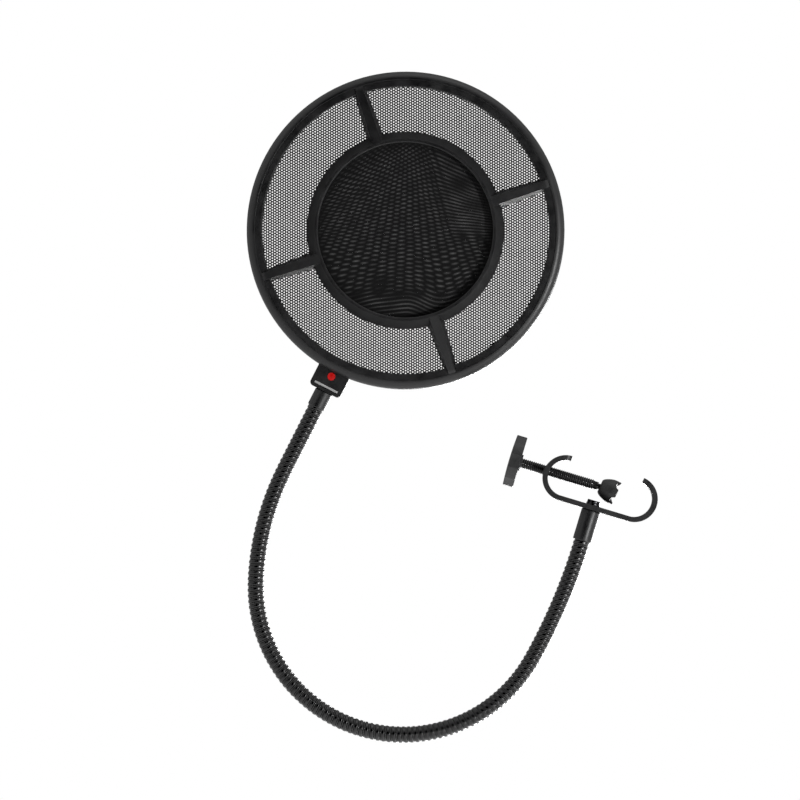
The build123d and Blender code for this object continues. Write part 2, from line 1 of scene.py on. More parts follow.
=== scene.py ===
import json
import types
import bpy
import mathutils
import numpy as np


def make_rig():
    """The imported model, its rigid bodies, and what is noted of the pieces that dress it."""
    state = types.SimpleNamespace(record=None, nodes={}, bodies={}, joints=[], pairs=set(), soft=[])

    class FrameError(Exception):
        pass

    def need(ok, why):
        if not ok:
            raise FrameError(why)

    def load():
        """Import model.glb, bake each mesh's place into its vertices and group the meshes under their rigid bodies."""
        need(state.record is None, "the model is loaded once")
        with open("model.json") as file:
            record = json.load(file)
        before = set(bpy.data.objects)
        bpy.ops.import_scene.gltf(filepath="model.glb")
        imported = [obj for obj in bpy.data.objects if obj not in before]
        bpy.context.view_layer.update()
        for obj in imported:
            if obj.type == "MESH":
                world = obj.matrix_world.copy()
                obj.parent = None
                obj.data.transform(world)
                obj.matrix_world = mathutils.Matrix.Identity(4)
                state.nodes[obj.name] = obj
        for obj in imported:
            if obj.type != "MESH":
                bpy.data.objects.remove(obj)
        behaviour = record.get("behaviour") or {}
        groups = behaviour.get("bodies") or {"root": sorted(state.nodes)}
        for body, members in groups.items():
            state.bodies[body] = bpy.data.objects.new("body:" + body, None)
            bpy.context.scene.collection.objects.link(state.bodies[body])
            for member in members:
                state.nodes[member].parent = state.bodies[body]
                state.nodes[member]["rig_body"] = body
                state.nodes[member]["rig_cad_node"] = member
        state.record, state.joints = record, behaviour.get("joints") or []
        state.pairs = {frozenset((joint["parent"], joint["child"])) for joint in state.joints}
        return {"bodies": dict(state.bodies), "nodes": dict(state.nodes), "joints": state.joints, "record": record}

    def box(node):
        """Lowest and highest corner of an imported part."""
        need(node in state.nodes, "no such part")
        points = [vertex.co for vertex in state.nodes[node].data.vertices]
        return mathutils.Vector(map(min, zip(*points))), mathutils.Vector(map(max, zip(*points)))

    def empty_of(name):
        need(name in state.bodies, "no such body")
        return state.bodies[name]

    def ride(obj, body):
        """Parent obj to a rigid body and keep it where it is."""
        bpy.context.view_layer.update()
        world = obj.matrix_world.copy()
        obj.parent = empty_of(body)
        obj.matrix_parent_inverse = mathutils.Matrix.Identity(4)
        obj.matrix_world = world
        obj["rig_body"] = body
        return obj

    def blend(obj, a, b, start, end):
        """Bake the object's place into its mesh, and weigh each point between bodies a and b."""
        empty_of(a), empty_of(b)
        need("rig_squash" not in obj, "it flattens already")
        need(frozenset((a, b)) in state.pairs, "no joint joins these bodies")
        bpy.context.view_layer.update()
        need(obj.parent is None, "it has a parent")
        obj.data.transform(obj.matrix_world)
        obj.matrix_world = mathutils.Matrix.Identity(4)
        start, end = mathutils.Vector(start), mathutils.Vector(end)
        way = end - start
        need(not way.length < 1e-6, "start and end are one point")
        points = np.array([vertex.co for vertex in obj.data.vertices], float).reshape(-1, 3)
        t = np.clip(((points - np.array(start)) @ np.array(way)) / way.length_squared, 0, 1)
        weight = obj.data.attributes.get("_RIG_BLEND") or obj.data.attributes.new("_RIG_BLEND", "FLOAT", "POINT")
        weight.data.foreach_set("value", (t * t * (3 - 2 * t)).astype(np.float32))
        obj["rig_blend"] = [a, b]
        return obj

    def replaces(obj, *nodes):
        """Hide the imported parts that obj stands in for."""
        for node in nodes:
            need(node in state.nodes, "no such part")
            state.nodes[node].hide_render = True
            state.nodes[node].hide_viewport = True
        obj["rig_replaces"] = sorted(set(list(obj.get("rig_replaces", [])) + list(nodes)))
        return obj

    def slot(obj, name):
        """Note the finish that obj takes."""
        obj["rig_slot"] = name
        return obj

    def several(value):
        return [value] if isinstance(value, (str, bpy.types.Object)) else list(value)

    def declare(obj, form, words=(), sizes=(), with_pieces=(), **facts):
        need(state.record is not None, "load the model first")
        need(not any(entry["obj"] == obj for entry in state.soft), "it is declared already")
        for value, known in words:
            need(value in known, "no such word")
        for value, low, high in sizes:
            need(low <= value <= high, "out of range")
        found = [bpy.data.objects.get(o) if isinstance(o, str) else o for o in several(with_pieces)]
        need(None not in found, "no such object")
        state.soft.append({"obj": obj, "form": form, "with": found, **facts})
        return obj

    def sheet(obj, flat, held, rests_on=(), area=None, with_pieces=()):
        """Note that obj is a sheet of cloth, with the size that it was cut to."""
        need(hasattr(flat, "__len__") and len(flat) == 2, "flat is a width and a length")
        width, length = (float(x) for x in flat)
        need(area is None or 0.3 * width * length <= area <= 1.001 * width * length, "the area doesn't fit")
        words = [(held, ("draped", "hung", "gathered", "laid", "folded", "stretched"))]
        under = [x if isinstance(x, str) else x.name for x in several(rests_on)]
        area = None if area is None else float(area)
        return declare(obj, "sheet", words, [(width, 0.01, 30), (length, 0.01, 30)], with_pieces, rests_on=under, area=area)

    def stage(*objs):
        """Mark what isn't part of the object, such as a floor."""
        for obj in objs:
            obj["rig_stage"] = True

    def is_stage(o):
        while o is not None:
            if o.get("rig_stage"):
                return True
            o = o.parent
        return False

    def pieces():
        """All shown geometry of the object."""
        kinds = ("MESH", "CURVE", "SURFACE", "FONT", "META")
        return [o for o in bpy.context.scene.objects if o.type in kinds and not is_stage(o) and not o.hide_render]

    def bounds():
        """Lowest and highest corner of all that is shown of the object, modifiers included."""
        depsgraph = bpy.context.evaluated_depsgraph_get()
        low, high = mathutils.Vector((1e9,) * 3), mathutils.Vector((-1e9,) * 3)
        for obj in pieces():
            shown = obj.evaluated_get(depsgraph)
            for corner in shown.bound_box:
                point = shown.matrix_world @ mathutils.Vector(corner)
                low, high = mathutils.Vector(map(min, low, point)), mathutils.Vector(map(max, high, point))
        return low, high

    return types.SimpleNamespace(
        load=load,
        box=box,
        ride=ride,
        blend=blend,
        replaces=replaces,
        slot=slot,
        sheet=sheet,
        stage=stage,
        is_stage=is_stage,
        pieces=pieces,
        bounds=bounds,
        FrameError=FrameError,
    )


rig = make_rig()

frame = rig.load()
cad_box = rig.bounds()

import json
from math import atan2, cos, pi, radians, sin, sqrt

import bmesh
import bpy
import numpy as np
from mathutils import Vector

# A round two-layer pop filter on a gooseneck with a screw clamp. Metres; +X right, +Z up, -Y faces
# the talker. Places come from the frame: its joints, and its nodes' boxes.
MM = 0.001


def joint(name):
    return next(j for j in frame["joints"] if j["name"] == name)


def centre(node):
    low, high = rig.box(node)
    return (low + high) / 2


# ---------- places ----------
Y = Vector((0, 1, 0))
SCREW_DIR = Vector(joint("screw_travel")["axis"]).normalized()
CLAMP_UP = Vector((-SCREW_DIR.z, 0, SCREW_DIR.x))
BALL = Vector(joint("screw_turn")["pos_m"])
DISC = centre("metal_screen")
TAB_DIR = (centre("mark_dot") - DISC) * Vector((1, 0, 1))
TAB_DIR.normalize()


# ---------- camera ----------
PHOTO_WIDTH = 0.3904
CAMERA_DISTANCE = 3.0
CAMERA_AZIMUTH = radians(1.0)
CAMERA_ELEVATION = radians(-0.9)
SENSOR = 36.0
FARTHEST = 50
VIEW_CENTRE = Vector((-0.11425, 0, 0.0483))


def add_camera():
    data = bpy.data.cameras.new("camera")
    data.sensor_width = SENSOR
    data.lens = SENSOR * CAMERA_DISTANCE / PHOTO_WIDTH
    data.clip_end = FARTHEST
    camera = bpy.data.objects.new("camera", data)
    bpy.context.scene.collection.objects.link(camera)
    back = Vector(
        (
            sin(CAMERA_AZIMUTH) * cos(CAMERA_ELEVATION),
            -cos(CAMERA_AZIMUTH) * cos(CAMERA_ELEVATION),
            sin(CAMERA_ELEVATION),
        )
    )
    camera.location = VIEW_CENTRE + back * CAMERA_DISTANCE
    camera.rotation_euler = back.to_track_quat("Z", "Y").to_euler()
    bpy.context.scene.camera = camera


# ---------- lights and floor ----------
FLOOR_DROP = 0.5
FLOOR_RADIUS = 9.0
FLOOR_SIDES = 96
FLOOR_TONE = (0.85, 0.85, 0.85, 1)
FLOOR_ROUGHNESS = 0.9
FLOOR_GLOW = 0.3
# How bright the room is, from straight behind the object (0) to straight in front of it (1).
ROOM_LIGHT = ((0.0, 0.22), (0.12, 0.26), (0.32, 0.8), (0.55, 0.8), (0.9, 0.04))
# Each light's name, place, size and power. All of them aim at the view's centre.
LIGHTS = (
    ("key", (0.80, -0.95, -0.12), (0.14, 0.14), 11.0),
    ("fill", (-1.2, -1.1, 0.9), (0.9, 0.9), 2.2),
    ("top", (0.1, -0.4, 1.4), (1.0, 0.7), 2.5),
    ("rim", (0.14, 0.55, -0.14), (0.5, 0.2), 6.0),
    ("low", (0.25, 0.12, -0.42), (0.3, 0.3), 1.0),
)


def area_light(name, place, size, power):
    data = bpy.data.lights.new(name, "AREA")
    data.shape = "RECTANGLE"
    data.size, data.size_y = size
    data.energy = power
    light = bpy.data.objects.new(name, data)
    bpy.context.scene.collection.objects.link(light)
    light.location = place
    light.rotation_euler = (Vector(place) - VIEW_CENTRE).to_track_quat("Z", "Y").to_euler()
    light.visible_camera = False


def add_world():
    world = bpy.data.worlds.new("studio")
    bpy.context.scene.world = world
    world.use_nodes = True
    nodes, links = world.node_tree.nodes, world.node_tree.links
    nodes.clear()
    seen = nodes.new("ShaderNodeBackground")
    seen.inputs["Strength"].default_value = 1.0
    seen.inputs["Color"].default_value = (1, 1, 1, 1)
    lit = nodes.new("ShaderNodeBackground")
    lit.inputs["Color"].default_value = (1, 1, 1, 1)
    towards = nodes.new("ShaderNodeTexCoord")
    facing = nodes.new("ShaderNodeVectorMath")
    facing.operation = "DOT_PRODUCT"
    facing.inputs[1].default_value = (0, -1, 0)
    links.new(towards.outputs["Generated"], facing.inputs[0])
    share = nodes.new("ShaderNodeMapRange")
    share.inputs["From Min"].default_value = -1.0
    links.new(facing.outputs["Value"], share.inputs["Value"])
    fall = nodes.new("ShaderNodeFloatCurve")
    curve = fall.mapping.curves[0]
    curve.points[0].location, curve.points[1].location = ROOM_LIGHT[0], ROOM_LIGHT[-1]
    for place in ROOM_LIGHT[1:-1]:
        curve.points.new(*place)
    fall.mapping.update()
    links.new(share.outputs["Result"], fall.inputs["Value"])
    links.new(fall.outputs["Value"], lit.inputs["Strength"])
    path = nodes.new("ShaderNodeLightPath")
    mix = nodes.new("ShaderNodeMixShader")
    out = nodes.new("ShaderNodeOutputWorld")
    links.new(path.outputs["Is Camera Ray"], mix.inputs["Fac"])
    links.new(lit.outputs["Background"], mix.inputs[1])
    links.new(seen.outputs["Background"], mix.inputs[2])
    links.new(mix.outputs["Shader"], out.inputs["Surface"])


def add_floor():
    mesh = bpy.data.meshes.new("floor")
    bm = bmesh.new()
    bmesh.ops.create_circle(bm, cap_ends=True, radius=FLOOR_RADIUS, segments=FLOOR_SIDES)
    bm.to_mesh(mesh)
    bm.free()
    floor = bpy.data.objects.new("floor", mesh)
    bpy.context.scene.collection.objects.link(floor)
    floor.location = (VIEW_CENTRE.x, 0, cad_box[0].z - FLOOR_DROP)
    material = bpy.data.materials.new("floor")
    material.use_nodes = True
    shader = material.node_tree.nodes["Principled BSDF"]
    shader.inputs["Base Color"].default_value = FLOOR_TONE
    shader.inputs["Roughness"].default_value = FLOOR_ROUGHNESS
    shader.inputs["Emission Color"].default_value = (1, 1, 1, 1)
    shader.inputs["Emission Strength"].default_value = FLOOR_GLOW
    mesh.materials.append(material)
    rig.stage(floor)


def add_studio():
    add_world()
    add_floor()
    for light in LIGHTS:
        area_light(*light)
    bpy.context.scene.view_settings.view_transform = "Standard"


# ---------- materials ----------
TEXTURE_RANGE = (0.3, 0.7)
PATCH_SHADE = (0.86, 1.14)
# Grain of the lighter colour that is painted in as painted light.
PAINTED_LIGHT_GRAIN = 0.0004
GLOSS_SPREAD = (0.88, 1.12)
WEAR_SHARE = (0.1, 0.9)
WEAR_PATCH = 0.0012
EDGE_SAMPLES = 6
EDGE_FALL = (0.98, 0.80)


def noise(tree, size, detail=3.0, rough=0.5, seed=0.0):
    """A noise texture whose features are about size metres, in the object's own coordinates."""
    where = tree.nodes.new("ShaderNodeTexCoord")
    shift = tree.nodes.new("ShaderNodeMapping")
    shift.inputs["Location"].default_value = (seed, seed, seed)
    texture = tree.nodes.new("ShaderNodeTexNoise")
    texture.inputs["Scale"].default_value = 1.0 / size
    texture.inputs["Detail"].default_value = detail
    texture.inputs["Roughness"].default_value = rough
    tree.links.new(where.outputs["Object"], shift.inputs["Vector"])
    tree.links.new(shift.outputs["Vector"], texture.inputs["Vector"])
    return texture.outputs["Fac"]


def ramp(tree, value, low, high, colours):
    node = tree.nodes.new("ShaderNodeValToRGB")
    node.color_ramp.elements[0].position = low
    node.color_ramp.elements[1].position = high
    node.color_ramp.elements[0].color = (*colours[0], 1)
    node.color_ramp.elements[1].color = (*colours[1], 1)
    tree.links.new(value, node.inputs["Fac"])
    return node.outputs["Color"]


def spread(tree, value, low, high):
    """A 0 to 1 texture value turned into a range."""
    node = tree.nodes.new("ShaderNodeMapRange")
    node.inputs["From Min"].default_value, node.inputs["From Max"].default_value = TEXTURE_RANGE
    node.inputs["To Min"].default_value = low
    node.inputs["To Max"].default_value = high
    tree.links.new(value, node.inputs["Value"])
    return node.outputs["Result"]


def edge_mask(tree, reach):
    """1 along convex and concave edges within a reach, 0 on open faces."""
    soft = tree.nodes.new("ShaderNodeBevel")
    soft.samples = EDGE_SAMPLES
    soft.inputs["Radius"].default_value = reach
    plain = tree.nodes.new("ShaderNodeNewGeometry")
    same = tree.nodes.new("ShaderNodeVectorMath")
    same.operation = "DOT_PRODUCT"
    tree.links.new(soft.outputs["Normal"], same.inputs[0])
    tree.links.new(plain.outputs["Normal"], same.inputs[1])
    fall = tree.nodes.new("ShaderNodeMapRange")
    fall.inputs["From Min"].default_value, fall.inputs["From Max"].default_value = EDGE_FALL
    tree.links.new(same.outputs["Value"], fall.inputs["Value"])
    return fall.outputs["Result"]


def mixed(tree, fac, first, second):
    node = tree.nodes.new("ShaderNodeMix")
    node.data_type = "RGBA"
    tree.links.new(fac, node.inputs["Factor"])
    for socket, value in ((node.inputs[6], first), (node.inputs[7], second)):
        if isinstance(value, tuple):
            socket.default_value = (*value, 1)
        else:
            tree.links.new(value, socket)
    return node.outputs[2]


def bumped(tree, height, distance, strength):
    node = tree.nodes.new("ShaderNodeBump")
    node.inputs["Distance"].default_value = distance
    node.inputs["Strength"].default_value = strength
    tree.links.new(height, node.inputs["Height"])
    return node.outputs["Normal"]


def new_material(name):
    material = bpy.data.materials.new(name)
    material.use_nodes = True
    return material, material.node_tree, material.node_tree.nodes["Principled BSDF"]


def finish(name, dark, light, rough, grain=0.0003, bump=0.00003, strength=0.5, metallic=0.0,
           wear=None, wear_reach=0.0002, specular=0.5, patch=0.006):
    """A surface with fine grain, slow patches of lighter and darker colour and of gloss, and lighter worn edges."""
    material, tree, shader = new_material(name)
    fine = noise(tree, grain, detail=4.0)
    slow = noise(tree, patch, detail=3.0, seed=3.0)
    colour = mixed(tree, ramp(tree, fine, *TEXTURE_RANGE, ((0, 0, 0), (1, 1, 1))), dark, light)
    patches = spread(tree, slow, *PATCH_SHADE)
    scaled = tree.nodes.new("ShaderNodeVectorMath")
    scaled.operation = "SCALE"
    tree.links.new(colour, scaled.inputs[0])
    tree.links.new(patches, scaled.inputs["Scale"])
    colour = scaled.outputs["Vector"]
    if wear is not None:
        rub = tree.nodes.new("ShaderNodeMath")
        rub.operation = "MULTIPLY"
        tree.links.new(edge_mask(tree, wear_reach), rub.inputs[0])
        tree.links.new(spread(tree, noise(tree, WEAR_PATCH, seed=7.0), *WEAR_SHARE), rub.inputs[1])
        colour = mixed(tree, rub.outputs["Value"], colour, wear)
    tree.links.new(colour, shader.inputs["Base Color"])
    gloss = spread(tree, slow, *(rough * share for share in GLOSS_SPREAD))
    tree.links.new(gloss, shader.inputs["Roughness"])
    tree.links.new(bumped(tree, fine, bump, strength), shader.inputs["Normal"])
    shader.inputs["Metallic"].default_value = metallic
    shader.inputs["Specular IOR Level"].default_value = specular
    return material


def attribute(tree, name):
    node = tree.nodes.new("ShaderNodeAttribute")
    node.attribute_name = name
    return node.outputs["Fac"]


def with_painted_light(name, base, dark, light, rough):
    """A finish whose colour and gloss also follow a 0 to 1 mask stored on the mesh: where it is high, a lighter colour
    is painted in as painted light, and the surface is glossier.
    """
    tree = base.node_tree
    shader = tree.nodes["Principled BSDF"]
    gloss_and_painted_light = attribute(tree, "gloss_and_painted_light")
    plain = shader.inputs["Base Color"].links[0].from_socket
    # Painted light: a lighter colour mixed in where the mask is high.
    painted_light_colour = mixed(tree, noise(tree, PAINTED_LIGHT_GRAIN, seed=5.0), dark, light)
    tree.links.new(mixed(tree, gloss_and_painted_light, plain, painted_light_colour), shader.inputs["Base Color"])
    gloss = tree.nodes.new("ShaderNodeMapRange")
    gloss.inputs["To Min"].default_value, gloss.inputs["To Max"].default_value = rough
    tree.links.new(gloss_and_painted_light, gloss.inputs["Value"])
    tree.links.new(gloss.outputs["Result"], shader.inputs["Roughness"])
    return base


MATERIALS = {
    "frame": finish("frame", (0.0065, 0.0065, 0.0068), (0.0125, 0.0125, 0.013), 0.42, grain=0.0006,
                    bump=0.00006, strength=0.6, wear=(0.024, 0.024, 0.024), specular=0.42),
    "screen": finish("screen", (0.008, 0.008, 0.0085), (0.018, 0.018, 0.0185), 0.42, grain=0.00012,
                     bump=0.00001),
    # nylon's second pair of colours is painted light: the light that shows through both layers.
    "nylon": with_painted_light("nylon", finish("nylon", (0.0012, 0.0012, 0.0013), (0.003, 0.003, 0.0032), 0.7,
                                   grain=0.00008, bump=0.00001, specular=0.15),
                   (0.055, 0.055, 0.055), (0.10, 0.10, 0.10), (0.75, 0.6)),
    # neck's second pair of colours is a painted highlight on the narrow wire's crest.
    "neck": with_painted_light("neck", finish("neck", (0.003, 0.003, 0.0032), (0.006, 0.006, 0.0063), 0.3,
                                 grain=0.0004, bump=0.00001, strength=0.2),
                  (0.02, 0.02, 0.02), (0.035, 0.035, 0.035), (0.3, 0.2)),
    "ferrule": finish("ferrule", (0.006, 0.006, 0.0063), (0.011, 0.011, 0.0115), 0.4, grain=0.0004,
                      bump=0.00001, strength=0.3, wear=(0.03, 0.03, 0.03), specular=0.4),
    "strip": finish("strip", (0.011, 0.011, 0.0113), (0.018, 0.018, 0.0185), 0.45, grain=0.0004,
                    bump=0.00002, strength=0.4, wear=(0.03, 0.03, 0.03), specular=0.35),
    "oxide": finish("oxide", (0.03, 0.03, 0.032), (0.055, 0.055, 0.058), 0.3, grain=0.00025,
                    bump=0.00001, strength=0.3, metallic=0.85, wear=(0.12, 0.12, 0.12)),
    # thread's second pair of colours is a painted highlight on the crests.
    "thread": with_painted_light("thread", finish("thread", (0.001, 0.001, 0.001), (0.002, 0.002, 0.002), 0.3,
                                     grain=0.0005, bump=0.00001, strength=0.2, metallic=0.6),
                    (0.06, 0.06, 0.061), (0.09, 0.09, 0.092), (0.5, 0.16)),
    "knob": finish("knob", (0.012, 0.012, 0.0123), (0.021, 0.021, 0.0217), 0.5, grain=0.0003,
                   bump=0.00003, strength=0.5, wear=(0.045, 0.045, 0.045)),
    "rubber": finish("rubber", (0.009, 0.009, 0.0093), (0.017, 0.017, 0.0175), 0.5, grain=0.0002,
                     bump=0.00002, strength=0.5, specular=0.4),
    "hoop": finish("hoop", (0.012, 0.012, 0.012), (0.02, 0.02, 0.02), 0.5),
    "socket": finish("socket", (0.03, 0.03, 0.03), (0.05, 0.05, 0.05), 0.4),
    "brass": finish("brass", (0.55, 0.38, 0.13), (0.66, 0.47, 0.18), 0.3, metallic=1.0),
    "red": finish("red", (0.42, 0.012, 0.012), (0.55, 0.02, 0.018), 0.35, bump=0.00001),
    "pale": finish("pale", (0.26, 0.26, 0.26), (0.38, 0.38, 0.38), 0.4, bump=0.00001),
}


# ---------- mesh helpers ----------
CAD_WELD = 0.002 * MM
FLAT_ANGLE = radians(0.3)
EASE_SHARE = 0.5
TINY = 1e-9


def new_piece(name, mesh, body, material, slot, replaced=()):
    mesh.materials.clear()
    mesh.materials.append(MATERIALS[material])
    piece = bpy.data.objects.new(name, mesh)
    bpy.context.scene.collection.objects.link(piece)
    if body is not None:
        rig.ride(piece, body)
    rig.slot(piece, slot)
    if replaced:
        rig.replaces(piece, *replaced)
    return piece


def mesh_of(name, vertices, faces, smooth_angle=35.0):
    mesh = bpy.data.meshes.new(name)
    mesh.from_pydata([tuple(v) for v in vertices], [], [tuple(f) for f in faces])
    mesh.validate()
    shade(mesh, smooth_angle)
    return mesh


def shade(mesh, angle):
    mesh.polygons.foreach_set("use_smooth", [True] * len(mesh.polygons))
    mesh.set_sharp_from_angle(angle=radians(angle))
    mesh.update()


def softened(name, node, width, material, slot, segments=2, sharp=35.0):
    """A CAD node's shape with its sharp edges rounded."""
    bm = bmesh.new()
    bm.from_mesh(frame["nodes"][node].data)
    bmesh.ops.remove_doubles(bm, verts=bm.verts, dist=CAD_WELD)
    bmesh.ops.dissolve_limit(bm, angle_limit=FLAT_ANGLE, verts=bm.verts, edges=bm.edges)
    edges = [e for e in bm.edges if len(e.link_faces) == 2 and e.calc_face_angle(0) > radians(sharp)]
    bmesh.ops.bevel(bm, geom=edges, offset=width, segments=segments, profile=0.5, affect="EDGES",
                    clamp_overlap=True)
    mesh = bpy.data.meshes.new(name)
    bm.to_mesh(mesh)
    bm.free()
    shade(mesh, sharp)
    piece = new_piece(name, mesh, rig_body(node), material, slot, (node,))
    flat = piece.modifiers.new("even_faces", "WEIGHTED_NORMAL")
    flat.keep_sharp = True
    return piece


def moulded(name, node, voxel, rounds, material, slot):
    """A CAD node's shape as one soft skin: evenly remeshed, with its edges eased."""
    source = bpy.data.objects.new(name + "_source", frame["nodes"][node].data.copy())
    bpy.context.scene.collection.objects.link(source)
    grid = source.modifiers.new("grid", "REMESH")
    grid.mode = "VOXEL"
    grid.voxel_size = voxel
    ease = source.modifiers.new("ease", "SMOOTH")
    ease.factor, ease.iterations = EASE_SHARE, rounds
    made = source.evaluated_get(bpy.context.evaluated_depsgraph_get())
    mesh = bpy.data.meshes.new_from_object(made)
    bpy.data.objects.remove(source)
    shade(mesh, 60.0)
    return new_piece(name, mesh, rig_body(node), material, slot, (node,))


def add_gloss_and_painted_light(mesh, values):
    # A 0 to 1 mask per point: where light is painted into the colour, and where the surface is glossier.
    gloss_and_painted_light = mesh.attributes.new("gloss_and_painted_light", "FLOAT", "POINT")
    gloss_and_painted_light.data.foreach_set("value", np.asarray(values, dtype=np.float32))


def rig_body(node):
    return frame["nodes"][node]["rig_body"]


def straight(origin, direction, across):
    """A path function for a straight line: centres, and two directions across it, at distances."""
    other = direction.cross(across)

    def at(distance):
        points = np.array(origin) + np.outer(distance, np.array(direction))
        sides = [np.tile(np.array(side), (len(distance), 1)) for side in (across, other)]
        return points, *sides

    return at


def wound(name, path, start, end, step, sides, radius, smooth_angle=60.0, gloss_and_painted_light=None):
    """A closed solid round a path whose radius depends on the distance and the angle."""
    count = max(2, int(round((end - start) / step)) + 1)
    s = np.linspace(start, end, count)
    phi = np.arange(sides) * 2 * pi / sides
    points, across, other = path(s)
    r = radius(s[:, None], phi[None, :])
    ring = across[:, None, :] * np.cos(phi)[None, :, None] + other[:, None, :] * np.sin(phi)[None, :, None]
    grid = points[:, None, :] + ring * r[:, :, None]
    vertices = np.vstack([grid.reshape(-1, 3), points[:1], points[-1:]])
    faces = []
    for i in range(count - 1):
        a, b = i * sides, (i + 1) * sides
        faces += [(a + j, a + (j + 1) % sides, b + (j + 1) % sides, b + j) for j in range(sides)]
    first, last = count * sides, count * sides + 1
    top = (count - 1) * sides
    faces += [(first, (j + 1) % sides, j) for j in range(sides)]
    faces += [(last, top + j, top + (j + 1) % sides) for j in range(sides)]
    mesh = mesh_of(name, vertices, faces, smooth_angle)
    # The optional mask of painted light and gloss.
    if gloss_and_painted_light is not None:
        add_gloss_and_painted_light(mesh, np.append(gloss_and_painted_light(s[:, None], phi[None, :]).ravel(), (0, 0)))
    return mesh


# ---------- gooseneck ----------
NECK_R = 4.0 * MM
WIRE_PITCH = 2.69 * MM
WIDE_WIRE = 0.72
NECK_SIDES = 40
NECK_STEP = WIRE_PITCH / 20
FOOT_HALF = 15.7 * MM / 2
IN_FERRULE = 6 * MM
INSERT_HALF = 4.0 * MM
TOP_SLEEVE = 8.9 * MM
NECK_STRETCHES = ((6.0, 0.0), (62.7, 12.4), (191.8, 152.8), (57.5, 24.9), (39.4, 0.0))
NECK_JOINTS = 10
NECK_EASE = 16 * MM
NECK_FINE = 0.1 * MM
SETTLE = 1.5 * MM
# These bends are worked out from the far body: from the near one, rounding tears them in the all_max pose.
FROM_FAR_END = (4, 9)
# How far the two wires fall below NECK_R: the wide one's crown and edges, the narrow one's crown and sides.
WIDE_CROWN = 0.06 * MM
WIDE_EDGE = 0.6 * MM
WIDE_EDGE_POWER = 6
NARROW_SINK = 0.14 * MM
NARROW_CROWN = 0.52 * MM


def neck_ends():
    """The gooseneck's two ends inside its ferrules."""
    foot = centre("foot_ferrule") - CLAMP_UP * (FOOT_HALF - IN_FERRULE)
    top = centre("stem_insert") + TAB_DIR * (INSERT_HALF + TOP_SLEEVE - IN_FERRULE)
    return foot, top


def neck_path():
    """The gooseneck's line: the stretches' curvature, eased from one to the next, from end to end."""
    foot, top = neck_ends()
    lengths, turns = np.array(NECK_STRETCHES).T
    marks = np.concatenate([[0], np.cumsum(lengths)]) * MM
    fine = np.arange(-NECK_EASE, marks[-1] + NECK_EASE, NECK_FINE)
    stretch = np.clip(np.searchsorted(marks, fine, side="right") - 1, 0, len(turns) - 1)
    bend = np.radians(turns)[stretch] / (lengths[stretch] * MM)
    bend[(fine < 0) | (fine > marks[-1])] = 0
    window = np.hanning(int(NECK_EASE / NECK_FINE))
    bend = np.convolve(bend, window / window.sum(), "same")
    heading = atan2(-CLAMP_UP.z, -CLAMP_UP.x) - np.cumsum(bend) * NECK_FINE
    ahead = np.column_stack([np.cos(heading), np.zeros(len(fine)), np.sin(heading)])
    place = np.cumsum(ahead, axis=0) * NECK_FINE
    first, last = np.searchsorted(fine, (0, marks[-1]))
    place += np.array((foot.x, 0, foot.z)) - place[first]
    missed = np.array((top.x, 0, top.z)) - place[last]
    place += np.clip(fine / marks[-1], 0, 1)[:, None] * missed

    def at(distance):
        points = np.column_stack([np.interp(distance, fine, place[:, k]) for k in range(3)])
        along = np.column_stack([np.interp(distance, fine, ahead[:, k]) for k in range(3)])
        return points, np.cross(along, np.array(Y)), np.tile(np.array(Y), (len(distance), 1))

    return at, marks[-1]


def neck_phase(s, phi):
    """Where a point lies across the wide wire, then across the narrow one: -1 to 1, and which it is."""
    p = np.mod(s / WIRE_PITCH + phi / (2 * pi), 1.0)
    wide = 2 * p / WIDE_WIRE - 1
    narrow = 2 * (p - WIDE_WIRE) / (1 - WIDE_WIRE) - 1
    return wide, narrow, p < WIDE_WIRE


def neck_radius(s, phi):
    """A wide, nearly flat wire and a narrow round one wound side by side."""
    wide, narrow, on_wide = neck_phase(s, phi)
    crest = NECK_R - WIDE_CROWN * wide**2 - WIDE_EDGE * np.abs(wide) ** WIDE_EDGE_POWER
    small = NECK_R - NARROW_SINK - NARROW_CROWN * narrow**2
    return np.where(on_wide, crest, small)


def neck_gloss_and_painted_highlight(s, phi):
    """The narrow wire is glossier, and painted lighter towards its crest as a painted highlight."""
    _, narrow, on_wide = neck_phase(s, phi)
    return np.where(on_wide, 0.0, 1.0 - narrow**2)


def build_neck():
    path, length = neck_path()
    free = (length - 2 * IN_FERRULE) / (NECK_JOINTS + 1)
    joints_at = IN_FERRULE + free * np.arange(1, NECK_JOINTS + 1)
    bodies = ["clamp"] + [f"neck_{i:02d}" for i in range(2, NECK_JOINTS + 1)] + ["screen"]
    cuts = [0, *(joints_at - free / 2), joints_at[-1] + free / 2, length]
    for i in range(len(cuts) - 1):
        name = f"gooseneck_{i + 1:02d}"
        span = (cuts[i], cuts[i + 1])
        mesh = wound(name, path, *span, NECK_STEP, NECK_SIDES, neck_radius, gloss_and_painted_light=neck_gloss_and_painted_highlight)
        bends = 0 < i < len(cuts) - 2
        nodes = [f"neck_link_{i + 1:02d}"] if i <= NECK_JOINTS else []
        end_body = bodies[0 if i == 0 else -1]
        piece = new_piece(name, mesh, None if bends else end_body, "neck", "gooseneck", nodes)
        if bends:
            ends, _, _ = path(np.array([cuts[i] + SETTLE, cuts[i + 1] - SETTLE]))
            pair = [(bodies[i - 1], tuple(ends[0])), (bodies[i], tuple(ends[1]))]
            if i in FROM_FAR_END:
                pair.reverse()
            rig.blend(piece, pair[0][0], pair[1][0], start=pair[0][1], end=pair[1][1])


